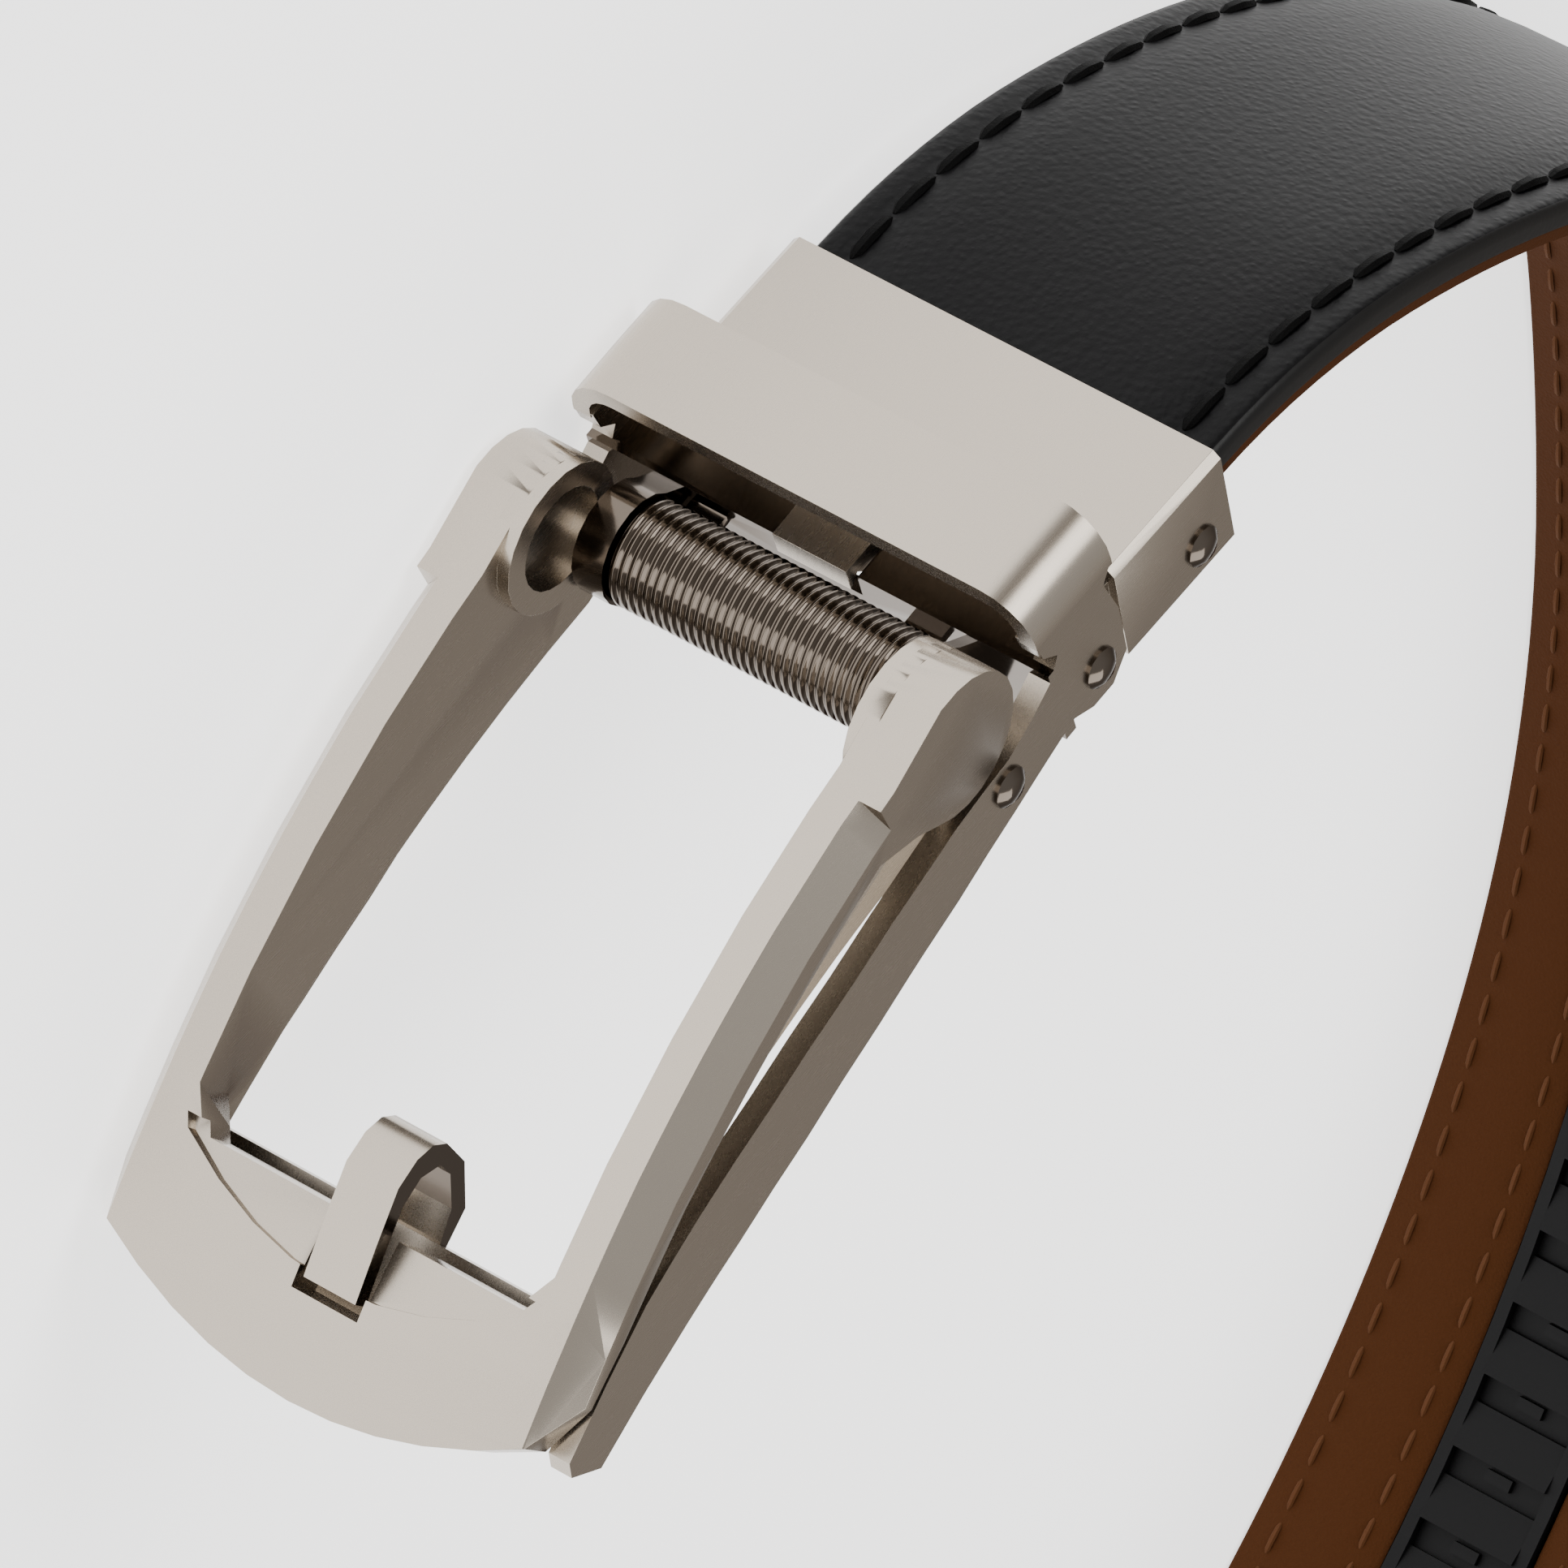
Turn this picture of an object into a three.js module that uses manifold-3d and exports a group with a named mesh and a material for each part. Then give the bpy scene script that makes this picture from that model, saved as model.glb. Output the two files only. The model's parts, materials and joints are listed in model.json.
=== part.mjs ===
// Ratchet belt with an open-frame automatic buckle, standing on its edge. Millimetres, +Z up.
// The buckle is drawn straight along s (towards its tip) and t (towards the wearer), then bent to its arc.

import * as THREE from 'three';
import { mergeVertices } from 'three/addons/utils/BufferGeometryUtils.js';
import Module from 'manifold-3d';

const wasm = await Module();
wasm.setup();

// Clearances
const GAP = 0.3;
const RUN_GAP = 0.4;
const EPS = 2;

// Strap
const STRAP_WIDTH = 35;
const FACE_THICK = 2.2;
const LINING_THICK = 1.0;
const EDGE_ROUND = 0.7;
const STRAP_STEP = 9;
const TIP_LENGTH = 13;
const TIP_END_WIDTH = 12;
const STRAP_SETTLE = 170;
const STRAP_PATH = [
  { run: 11.2, turn: 0 },
  { run: 10, turn: 11.7 },
  { run: 14, turn: 13.1 },
  { run: 20, turn: 10.5 },
  { run: 38, turn: 19.5 },
  { run: 22, turn: 23.4 },
  { run: 22, turn: 15.3 },
  { run: 26, turn: 6.4 },
  { run: 25, turn: 12.4 },
  { run: 27, turn: 15.5 },
  { run: 21, turn: 10.7 },
  { run: 24, turn: 12.7 },
  { run: 352, turn: 20 },
  { run: 239.7, turn: 158.8 },
  { run: 258.3, turn: 20 },
];

// Toothed track on the strap's back
const TRACK_WIDTH = 11;
const TRACK_BASE = 0.9;
const TOOTH_HEIGHT = 0.9;
const TOOTH_PITCH = 6.35;
const TOOTH_DROP = 0.6;
const TRACK_START = 150;
const TRACK_TAIL = 30;

// Clamp that holds the strap's fixed end
const CLAMP_SIDE_GAP = 0.1;
const CLAMP_LENGTH = 12.2;
const CLAMP_DEPTH = 9;
const CLAMP_WALL = 0.9;
const CLAMP_END_WALL = 1;
const CLAMP_EDGE = 0.6;
const LUG_THICK = 1.4;
const JAW_THICK = 1.4;
const JAW_TEETH = 3;
const JAW_RIM = 1.5;

// Pins and their domed heads
const PIN_RADIUS = 0.8;
const HEAD_RADIUS = 1.6;
const HEAD_HEIGHT = 0.8;
const PIN_SIDES = 12;
const JAW_PIN = { s: 3.4, t: 6.5 };
const SWING_PIN = { s: 16.8, t: 4.4 };
const RIVET = { s: 28, t: 5.0 };

// Buckle body: two side plates, keeper, floor and end bar
const SIDE_STEP = 1.5;
const PLATE_THICK = 1.8;
const BEND_START = 13;
const BEND_RADIUS = 115;
const BEND_STEP = 6;
const BODY_END = 86;
const PLATE_EDGES = [
  { s: 36, front: 2.9, back: 9.2 },
  { s: 47, front: 3.2, back: 9.8 },
  { s: 57, front: 2.6, back: 9.6 },
  { s: 66, front: 1.4, back: 8.6 },
  { s: 73, front: 0.6, back: 7.4 },
  { s: 85, front: 0.6, back: 5.2 },
];
const KEEPER_NEAR = 13.6;
const KEEPER_FAR = 21.9;
const KEEPER_FRONT = -8.2;
const KEEPER_WALL = 1.5;
const KEEPER_ROUND = 4;
const LOBE_RADIUS = 3;
const END_BAR_NEAR = 76.5;
const END_BAR_THICK = 1.5;
const FLOOR_NEAR = 14.4;
const FLOOR_FAR = 21.6;
const FLOOR_FRONT = -0.2;
const FLOOR_THICK = 1.2;
const WALL_BACK = 7.4;
const TAB_WIDTH = 3;
const TAB_SIZE = 0.8;
const TAB_PLACES = [-9.5, 9.5];

// Pawl on the swing pin
const PAWL_WIDTH = 6.4;
const PAWL_THICK = 1.2;
const PAWL_FRONT = -1.1;
const PAWL_END = 22.1;
const PAWL_HUB = 1.8;

// Front frame: knuckles, arms with deep inner walls, and a bowed end
const KNUCKLE = { s: 30.5, t: -3.6 };
const KNUCKLE_RADIUS = 5.7;
const KNUCKLE_WIDTH = 5.6;
const RECESS_RADIUS = 3.9;
const RECESS_DEPTH = 1.8;
const FRAME_PROFILE = [
  { s: 36.5, front: -7.7, back: -1.2 },
  { s: 40, front: -7.6, back: -3.2 },
  { s: 48, front: -7.1, back: -2.4 },
  { s: 57, front: -6.3, back: -1.7 },
  { s: 66, front: -5.4, back: -1.0 },
  { s: 73, front: -4.5, back: -0.1 },
  { s: 76, front: -4.1, back: 0.2 },
  { s: 90, front: -2.4, back: 0.2 },
];
const WALL_EDGE = [
  { s: 77, t: 1.9 },
  { s: 73, t: 2.4 },
  { s: 50, t: 4.8 },
  { s: 30, t: 6.6 },
  { s: 27, t: 6 },
  { s: 25.2, t: 3 },
];
const WALL_THICK = 1.4;
const FRAME_END = 90;
const END_BULGE = 5;
const END_CORNER = 4;
const ARM_WIDTH = 4.6;
const WINDOW_FAR = 77;
const LEDGE_BULGE = 4.6;
const LEDGE_DROP = 1.3;
const BEVEL_WIDTH = 2;
const BEVEL_DEPTH = 3.2;
const BEVEL_NEAR = 38;

// Ribbed bar between the knuckles, and the ears that hold it
const BAR = { s: 27, t: 0.6 };
const BAR_RADIUS = 4.1;
const RIB_HEIGHT = 0.35;
const RIB_COUNT = 17;
const RIB_SIDES = 16;
const EAR_RADIUS = 4.3;
const LOW_EAR = 2.6;
const HIGH_EAR = 1;
const PIVOT_RADIUS = 1;

// False prong on the end bar
const PRONG_WIDTH = 4.5;
const PRONG_THICK = 1.5;
const PRONG_NEAR = 69.8;
const PRONG_FAR = 82;
const PRONG_FRONT = -5.2;

const CLAMP_WIDTH = STRAP_WIDTH + 2 * (CLAMP_WALL + CLAMP_SIDE_GAP);
const BODY_WIDTH = CLAMP_WIDTH + 2 * SIDE_STEP;
const FRAME_WIDTH = BODY_WIDTH;
const STRAP_THICK = FACE_THICK + GAP + LINING_THICK;
const BODY_BOTTOM = HEAD_HEIGHT;
const BODY_TOP = BODY_BOTTOM + BODY_WIDTH;
const MIDDLE = (BODY_BOTTOM + BODY_TOP) / 2;
const CLAMP_BOTTOM = MIDDLE - CLAMP_WIDTH / 2;
const CLAMP_TOP = MIDDLE + CLAMP_WIDTH / 2;
const STRAP_OUTER = CLAMP_WALL + GAP;
const STRAP_LENGTH = STRAP_PATH.reduce((sum, row) => sum + row.run, 0);
const HOLE_RADIUS = PIN_RADIUS + GAP;

const steel = (color, roughness) =>
  new THREE.MeshStandardMaterial({ color, roughness, metalness: 1 });
const soft = (color, roughness) =>
  new THREE.MeshStandardMaterial({ color, roughness, metalness: 0 });

const belt = new THREE.Group();

function addMesh(name, geometry, material) {
  const mesh = new THREE.Mesh(geometry, material);
  mesh.name = name;
  belt.add(mesh);
}

// A closed geometry as a solid that can be joined and cut
function toSolid(geometry) {
  const bare = geometry.clone();
  for (const name of Object.keys(bare.attributes)) {
    if (name !== 'position') bare.deleteAttribute(name);
  }
  const merged = mergeVertices(bare, 1e-4);
  return new wasm.Manifold(new wasm.Mesh({
    numProp: 3,
    vertProperties: new Float32Array(merged.attributes.position.array),
    triVerts: new Uint32Array(merged.index.array),
  }));
}

function toGeometry(solid) {
  const mesh = solid.getMesh();
  const geometry = new THREE.BufferGeometry();
  const points = new Float32Array(mesh.vertProperties);
  geometry.setAttribute('position', new THREE.BufferAttribute(points, 3));
  geometry.setIndex(new THREE.BufferAttribute(new Uint32Array(mesh.triVerts), 1));
  geometry.computeVertexNormals();
  return geometry;
}

const join = (...solids) => solids.reduce((sum, solid) => sum.add(solid));
const cut = (solid, ...tools) => tools.reduce((rest, tool) => rest.subtract(tool), solid);

// From the straight drawing to the buckle's arc
function bendPoint(s, t) {
  if (s <= BEND_START) return { x: s, y: t };
  const angle = (s - BEND_START) / BEND_RADIUS;
  return {
    x: BEND_START + (BEND_RADIUS - t) * Math.sin(angle),
    y: BEND_RADIUS - (BEND_RADIUS - t) * Math.cos(angle),
  };
}

function bendSolid(solid) {
  const geometry = toGeometry(solid);
  const place = geometry.attributes.position;
  for (let i = 0; i < place.count; i += 1) {
    const at = bendPoint(place.getX(i), place.getY(i));
    place.setXY(i, at.x, at.y);
  }
  geometry.computeVertexNormals();
  return geometry;
}

// An outline of { s, t } points with its long edges divided so that they can bend
function divided(points) {
  const out = [];
  points.forEach((from, i) => {
    const to = points[(i + 1) % points.length];
    const parts = Math.max(1, Math.ceil(Math.abs(to.s - from.s) / BEND_STEP));
    for (let k = 0; k < parts; k += 1) {
      const share = k / parts;
      out.push(new THREE.Vector2(
        THREE.MathUtils.lerp(from.s, to.s, share),
        THREE.MathUtils.lerp(from.t, to.t, share),
      ));
    }
  });
  return out;
}

function arcPoints(centre, radius, fromDeg, toDeg, count) {
  const out = [];
  for (let i = 0; i <= count; i += 1) {
    const angle = THREE.MathUtils.degToRad(THREE.MathUtils.lerp(fromDeg, toDeg, i / count));
    out.push({ s: centre.s + radius * Math.cos(angle), t: centre.t + radius * Math.sin(angle) });
  }
  return out;
}

// A prism with its outline in s and t, between two heights
function prism(points, bottom, top, holes = []) {
  const shape = new THREE.Shape(divided(points));
  holes.forEach(({ at, radius }) => {
    const ring = arcPoints(at, radius, 0, 360, PIN_SIDES).slice(0, -1);
    shape.holes.push(new THREE.Path(ring.map((p) => new THREE.Vector2(p.s, p.t))));
  });
  const geometry = new THREE.ExtrudeGeometry(shape, { depth: top - bottom, bevelEnabled: false });
  geometry.translate(0, 0, bottom);
  return toSolid(geometry);
}

// A prism with its outline in s and z, between two depths
function facePrism(points, near, far) {
  const shape = new THREE.Shape(points.map((p) => new THREE.Vector2(p.s, -p.z)));
  const geometry = new THREE.ExtrudeGeometry(shape, { depth: far - near, bevelEnabled: false });
  geometry.translate(0, 0, near);
  geometry.rotateX(-Math.PI / 2);
  return toSolid(geometry);
}

// A prism with its outline in t and z, between two places along s
function endPrism(points, near, far) {
  const shape = new THREE.Shape(points.map((p) => new THREE.Vector2(p.t, p.z)));
  const parts = Math.max(1, Math.ceil((far - near) / BEND_STEP));
  const geometry = new THREE.ExtrudeGeometry(shape, {
    depth: far - near, steps: parts, bevelEnabled: false,
  });
  geometry.rotateX(Math.PI / 2);
  geometry.rotateZ(Math.PI / 2);
  geometry.translate(near, 0, 0);
  return toSolid(geometry);
}

function block(s0, s1, t0, t1, z0, z1) {
  const corners = [{ s: s0, t: t0 }, { s: s1, t: t0 }, { s: s1, t: t1 }, { s: s0, t: t1 }];
  return prism(corners, z0, z1);
}

function rod(at, radius, bottom, top, sides = PIN_SIDES) {
  return prism(arcPoints(at, radius, 0, 360, sides).slice(0, -1), bottom, top);
}

// The strap's plan: the place and heading at each distance from its fixed end
function strapAt(distance) {
  let x = CLAMP_LENGTH - CLAMP_END_WALL - GAP;
  let y = STRAP_OUTER;
  let heading = 0;
  let left = distance;
  for (const { run, turn } of STRAP_PATH) {
    const part = Math.min(left, run);
    const turned = THREE.MathUtils.degToRad(turn) * (part / run);
    const chord = turned ? (2 * part * Math.sin(turned / 2)) / turned : part;
    x -= chord * Math.cos(heading + turned / 2);
    y += chord * Math.sin(heading + turned / 2);
    heading += turned;
    left -= part;
    if (left <= 0) break;
  }
  const settled = THREE.MathUtils.smoothstep(distance, 0, STRAP_SETTLE);
  const bottom = THREE.MathUtils.lerp(MIDDLE - STRAP_WIDTH / 2, 0, settled);
  return { x, y, heading, bottom };
}

// Half the strap's width, drawn in round its free tip
function halfWidth(distance) {
  const past = Math.max(0, distance - (STRAP_LENGTH - TIP_LENGTH)) / TIP_LENGTH;
  const share = Math.sqrt(Math.max(0, 1 - past * past));
  return THREE.MathUtils.lerp(TIP_END_WIDTH, STRAP_WIDTH, share) / 2;
}

function stations(start, end) {
  const places = new Set([start, end]);
  let mark = 0;
  STRAP_PATH.forEach(({ run }) => {
    const parts = Math.ceil(run / STRAP_STEP);
    for (let i = 0; i < parts; i += 1) places.add(mark + (run * i) / parts);
    mark += run;
  });
  for (const share of [0, 0.4, 0.7, 0.9]) places.add(STRAP_LENGTH - TIP_LENGTH * (1 - share));
  return [...places].filter((d) => d >= start && d <= end).sort((a, b) => a - b);
}

// A closed skin through rings of points, with its two ends capped
function loft(rings) {
  const size = rings[0].length;
  const place = rings.flat().flatMap((p) => [p.x, p.y, p.z]);
  const index = [];
  for (let i = 0; i + 1 < rings.length; i += 1) {
    for (let k = 0; k < size; k += 1) {
      const a = i * size + k;
      const b = i * size + ((k + 1) % size);
      index.push(a, b, a + size, b, b + size, a + size);
    }
  }
  const last = (rings.length - 1) * size;
  for (let k = 1; k + 1 < size; k += 1) {
    index.push(0, k + 1, k);
    index.push(last, last + k, last + k + 1);
  }
  const geometry = new THREE.BufferGeometry();
  geometry.setAttribute('position', new THREE.Float32BufferAttribute(place, 3));
  geometry.setIndex(index);
  if (toSolid(geometry).volume() < 0) geometry.setIndex(index.reverse());
  geometry.computeVertexNormals();
  return geometry;
}

// A ring across the strap: section points are { depth from the face, up from the strap's middle }
function strapRing(distance, section) {
  const { x, y, heading, bottom } = strapAt(distance);
  const centre = bottom + STRAP_WIDTH / 2;
  return section.map(({ depth, up }) => ({
    x: x + Math.sin(heading) * depth,
    y: y + Math.cos(heading) * depth,
    z: centre + up,
  }));
}

function band(distances, sectionAt) {
  return loft(distances.map((d) => strapRing(d, sectionAt(d))));
}

function bandSection(half, near, far, round) {
  return [
    { depth: near, up: half - round },
    { depth: near + round, up: half },
    { depth: far, up: half },
    { depth: far, up: -half },
    { depth: near + round, up: -half },
    { depth: near, up: round - half },
  ];
}

function makeStrap() {
  const whole = stations(0, STRAP_LENGTH);
  const face = band(whole, (d) => bandSection(halfWidth(d), 0, FACE_THICK, EDGE_ROUND));
  addMesh('strap_face', face, soft(0x17171a, 0.45));

  const near = FACE_THICK + GAP;
  const trackEnd = STRAP_LENGTH - TRACK_TAIL;
  const slotHalf = TRACK_WIDTH / 2 + GAP;
  const flat = (half, a, b) => [
    { depth: a, up: half }, { depth: b, up: half }, { depth: b, up: -half }, { depth: a, up: -half },
  ];
  const full = toSolid(band(whole, (d) => flat(halfWidth(d) - GAP, near, STRAP_THICK)));
  const slotPlaces = stations(TRACK_START - GAP, trackEnd + GAP);
  const slot = toSolid(band(slotPlaces, () => flat(slotHalf, near - EPS, STRAP_THICK + EPS)));
  addMesh('strap_lining', toGeometry(cut(full, slot)), soft(0x5b3a20, 0.85));

  const rings = [];
  const teeth = Math.floor((trackEnd - TRACK_START) / TOOTH_PITCH);
  for (let i = 0; i < teeth; i += 1) {
    const from = TRACK_START + i * TOOTH_PITCH;
    const low = flat(TRACK_WIDTH / 2, near, near + TRACK_BASE);
    const high = flat(TRACK_WIDTH / 2, near, near + TRACK_BASE + TOOTH_HEIGHT);
    rings.push(strapRing(from + TOOTH_DROP, low), strapRing(from + TOOTH_PITCH, high));
  }
  addMesh('track', loft(rings), soft(0x1c1d20, 0.5));
}

// Clamp: a folded shell open at the back, with two lugs for the swing pin
function makeClamp() {
  const walls = [
    { t: 0, z: CLAMP_BOTTOM + CLAMP_EDGE }, { t: CLAMP_EDGE, z: CLAMP_BOTTOM },
    { t: CLAMP_DEPTH, z: CLAMP_BOTTOM }, { t: CLAMP_DEPTH, z: CLAMP_BOTTOM + CLAMP_WALL },
    { t: CLAMP_WALL, z: CLAMP_BOTTOM + CLAMP_WALL }, { t: CLAMP_WALL, z: CLAMP_TOP - CLAMP_WALL },
    { t: CLAMP_DEPTH, z: CLAMP_TOP - CLAMP_WALL }, { t: CLAMP_DEPTH, z: CLAMP_TOP },
    { t: CLAMP_EDGE, z: CLAMP_TOP }, { t: 0, z: CLAMP_TOP - CLAMP_EDGE },
  ];
  const jawHoles = rod(JAW_PIN, HOLE_RADIUS, 0, BODY_TOP + EPS);
  let shell = cut(endPrism(walls, 0, CLAMP_LENGTH), jawHoles);
  const lug = [
    { s: CLAMP_LENGTH - CLAMP_END_WALL, t: SWING_PIN.t + LOBE_RADIUS },
    { s: CLAMP_LENGTH - CLAMP_END_WALL, t: SWING_PIN.t - LOBE_RADIUS },
    ...arcPoints(SWING_PIN, LOBE_RADIUS, -90, 90, 6),
  ];
  const inner = BODY_BOTTOM + PLATE_THICK + RUN_GAP;
  const hole = [{ at: SWING_PIN, radius: HOLE_RADIUS }];
  const outer = inner + LUG_THICK;
  const low = prism(lug, inner, outer, hole);
  const high = prism(lug, 2 * MIDDLE - outer, 2 * MIDDLE - inner, hole);
  shell = join(shell, low, high);
  addMesh('clamp', bendSolid(shell), steel(0xb8b2a8, 0.3));
}

// Jaw: a plate on its pin with teeth that bite the strap's back
function makeJaw() {
  const half = CLAMP_WIDTH / 2 - CLAMP_WALL - RUN_GAP;
  const back = CLAMP_DEPTH;
  const front = back - JAW_THICK;
  const end = CLAMP_LENGTH - CLAMP_END_WALL - GAP;
  const biting = STRAP_OUTER + STRAP_THICK + GAP;
  const teethFrom = JAW_PIN.s + JAW_RIM;
  const pitch = (end - teethFrom) / JAW_TEETH;
  const points = [{ s: end, t: back }];
  points.push(...arcPoints(JAW_PIN, JAW_RIM, 90, 300, 8));
  for (let i = 0; i < JAW_TEETH; i += 1) {
    points.push({ s: teethFrom + i * pitch, t: front });
    points.push({ s: teethFrom + (i + 0.5) * pitch, t: biting });
  }
  points.push({ s: end, t: front });
  const plate = prism(points, MIDDLE - half, MIDDLE + half, [{ at: JAW_PIN, radius: HOLE_RADIUS }]);
  addMesh('clamp_jaw', bendSolid(plate), steel(0xa8a299, 0.35));
}

// A pin across the belt with a domed head at each end
function makePin(name, at, width) {
  const half = width / 2;
  const profile = [
    [0, -half - HEAD_HEIGHT], [HEAD_RADIUS * 0.6, -half - HEAD_HEIGHT * 0.85],
    [HEAD_RADIUS, -half - HEAD_HEIGHT * 0.3], [HEAD_RADIUS, -half], [PIN_RADIUS, -half],
    [PIN_RADIUS, half], [HEAD_RADIUS, half], [HEAD_RADIUS, half + HEAD_HEIGHT * 0.3],
    [HEAD_RADIUS * 0.6, half + HEAD_HEIGHT * 0.85], [0, half + HEAD_HEIGHT],
  ].map(([r, z]) => new THREE.Vector2(r, z));
  const pin = new THREE.LatheGeometry(profile, PIN_SIDES);
  pin.rotateX(Math.PI / 2);
  const place = bendPoint(at.s, at.t);
  pin.translate(place.x, place.y, MIDDLE);
  addMesh(name, toGeometry(toSolid(pin)), steel(0x8f8a84, 0.25));
}

// A short rivet through one side plate; side is 1 for the upper plate and -1 for the lower
function makeRivet(name, at, side) {
  const depth = PLATE_THICK;
  const profile = [
    [0, -depth], [PIN_RADIUS, -depth], [PIN_RADIUS, 0], [HEAD_RADIUS, 0],
    [HEAD_RADIUS, HEAD_HEIGHT * 0.3], [HEAD_RADIUS * 0.6, HEAD_HEIGHT * 0.85], [0, HEAD_HEIGHT],
  ].map(([r, z]) => new THREE.Vector2(r, z));
  const rivet = new THREE.LatheGeometry(profile, PIN_SIDES);
  rivet.rotateX(side * Math.PI / 2);
  const place = bendPoint(at.s, at.t);
  rivet.translate(place.x, place.y, MIDDLE + side * BODY_WIDTH / 2);
  addMesh(name, toGeometry(toSolid(rivet)), steel(0x8f8a84, 0.25));
}

// Side plate of the buckle body, from the keeper to the end
function plateOutline() {
  const neck = KNUCKLE.t + KNUCKLE_RADIUS + RUN_GAP;
  const side = KEEPER_FRONT + KEEPER_ROUND;
  return [
    { s: KEEPER_NEAR, t: side },
    { s: KEEPER_FAR, t: side },
    { s: KEEPER_FAR - 0.3, t: -2.4 },
    { s: KEEPER_FAR - 1.6, t: -1.2 },
    { s: KEEPER_FAR - 0.6, t: 0.4 },
    { s: KNUCKLE.s - KNUCKLE_RADIUS - 1, t: 1.6 },
    { s: KNUCKLE.s - 3.4, t: neck + 0.2 },
    { s: KNUCKLE.s + 3, t: neck + 0.2 },
    ...PLATE_EDGES.map(({ s, front }) => ({ s, t: front })),
    { s: BODY_END, t: PLATE_EDGES.at(-1).front + 1.2 },
    ...PLATE_EDGES.map(({ s, back }) => ({ s, t: back })).reverse(),
    { s: RIVET.s, t: RIVET.t + LOBE_RADIUS },
    { s: KEEPER_FAR - 1.6, t: SWING_PIN.t + LOBE_RADIUS - 1 },
    { s: SWING_PIN.s + 1.4, t: SWING_PIN.t + LOBE_RADIUS },
    { s: SWING_PIN.s - 1, t: SWING_PIN.t + LOBE_RADIUS },
    { s: KEEPER_NEAR + 0.2, t: SWING_PIN.t + 1.2 },
    { s: KEEPER_NEAR + 0.2, t: 1 },
    { s: KEEPER_NEAR + 1.2, t: -2.6 },
  ];
}

// Keeper: the rounded bridge that the strap's free end passes under
function keeperBridge() {
  const corner = (inset) => {
    const radius = KEEPER_ROUND - inset;
    const points = [];
    for (const [side, from, to] of [[1, 90, 0], [-1, 0, -90]]) {
      for (let i = 0; i <= 5; i += 1) {
        const angle = THREE.MathUtils.degToRad(THREE.MathUtils.lerp(from, to, i / 5));
        points.push({
          t: KEEPER_FRONT + KEEPER_ROUND - radius * Math.cos(angle),
          z: MIDDLE + side * (BODY_WIDTH / 2 - KEEPER_ROUND) + radius * Math.sin(angle),
        });
      }
    }
    return points;
  };
  const outer = corner(0);
  const inner = corner(KEEPER_WALL).reverse();
  const foot = KEEPER_FRONT + KEEPER_ROUND + 0.5;
  const walls = [
    { t: foot, z: BODY_TOP }, ...outer, { t: foot, z: BODY_BOTTOM },
    { t: foot, z: BODY_BOTTOM + KEEPER_WALL }, ...inner, { t: foot, z: BODY_TOP - KEEPER_WALL },
  ];
  return endPrism(walls, KEEPER_NEAR, KEEPER_FAR);
}

// The false prong: a bent strip that rises from the end bar and lies in the frame's notch
function prongOutline() {
  const front = PRONG_FRONT;
  const back = PLATE_EDGES.at(-1).back - END_BAR_THICK;
  return [
    { s: PRONG_FAR, t: front + PRONG_THICK * 1.2 }, { s: PRONG_FAR, t: front + PRONG_THICK * 2.2 },
    { s: PRONG_NEAR + 5, t: front + PRONG_THICK * 1.2 },
    { s: PRONG_NEAR + 2.8, t: front + PRONG_THICK * 1.5 },
    { s: PRONG_NEAR + PRONG_THICK, t: front + PRONG_THICK * 2.6 },
    { s: PRONG_NEAR + PRONG_THICK + 0.3, t: 0.6 },
    { s: PRONG_NEAR + 4, t: back - 0.6 },
    { s: END_BAR_NEAR + 1, t: back + 0.6 },
    { s: END_BAR_NEAR + 1, t: back + END_BAR_THICK - 0.2 },
    { s: PRONG_NEAR + 3.6, t: back + 1.2 },
    { s: PRONG_NEAR + 0.6, t: 1.6 },
    { s: PRONG_NEAR, t: front + PRONG_THICK * 2.2 },
    { s: PRONG_NEAR + 0.5, t: front + PRONG_THICK * 1.1 },
    { s: PRONG_NEAR + 1.8, t: front + PRONG_THICK * 0.35 },
    { s: PRONG_NEAR + 4, t: front },
  ];
}

// An ear that holds one end of the ribbed bar, standing on the wall behind the floor
function earSolid(sign, thick) {
  const outer = MIDDLE + sign * (FRAME_WIDTH / 2 - KNUCKLE_WIDTH - RUN_GAP);
  const inner = outer - sign * thick;
  const outline = [
    ...arcPoints(BAR, EAR_RADIUS, -150, 110, 14),
    { s: FLOOR_FAR, t: WALL_BACK },
    { s: FLOOR_FAR - FLOOR_THICK, t: WALL_BACK },
    { s: FLOOR_FAR - FLOOR_THICK, t: FLOOR_FRONT + 1 },
  ];
  const hole = [{ at: BAR, radius: PIVOT_RADIUS + GAP }];
  return prism(outline, Math.min(outer, inner), Math.max(outer, inner), hole);
}

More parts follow.
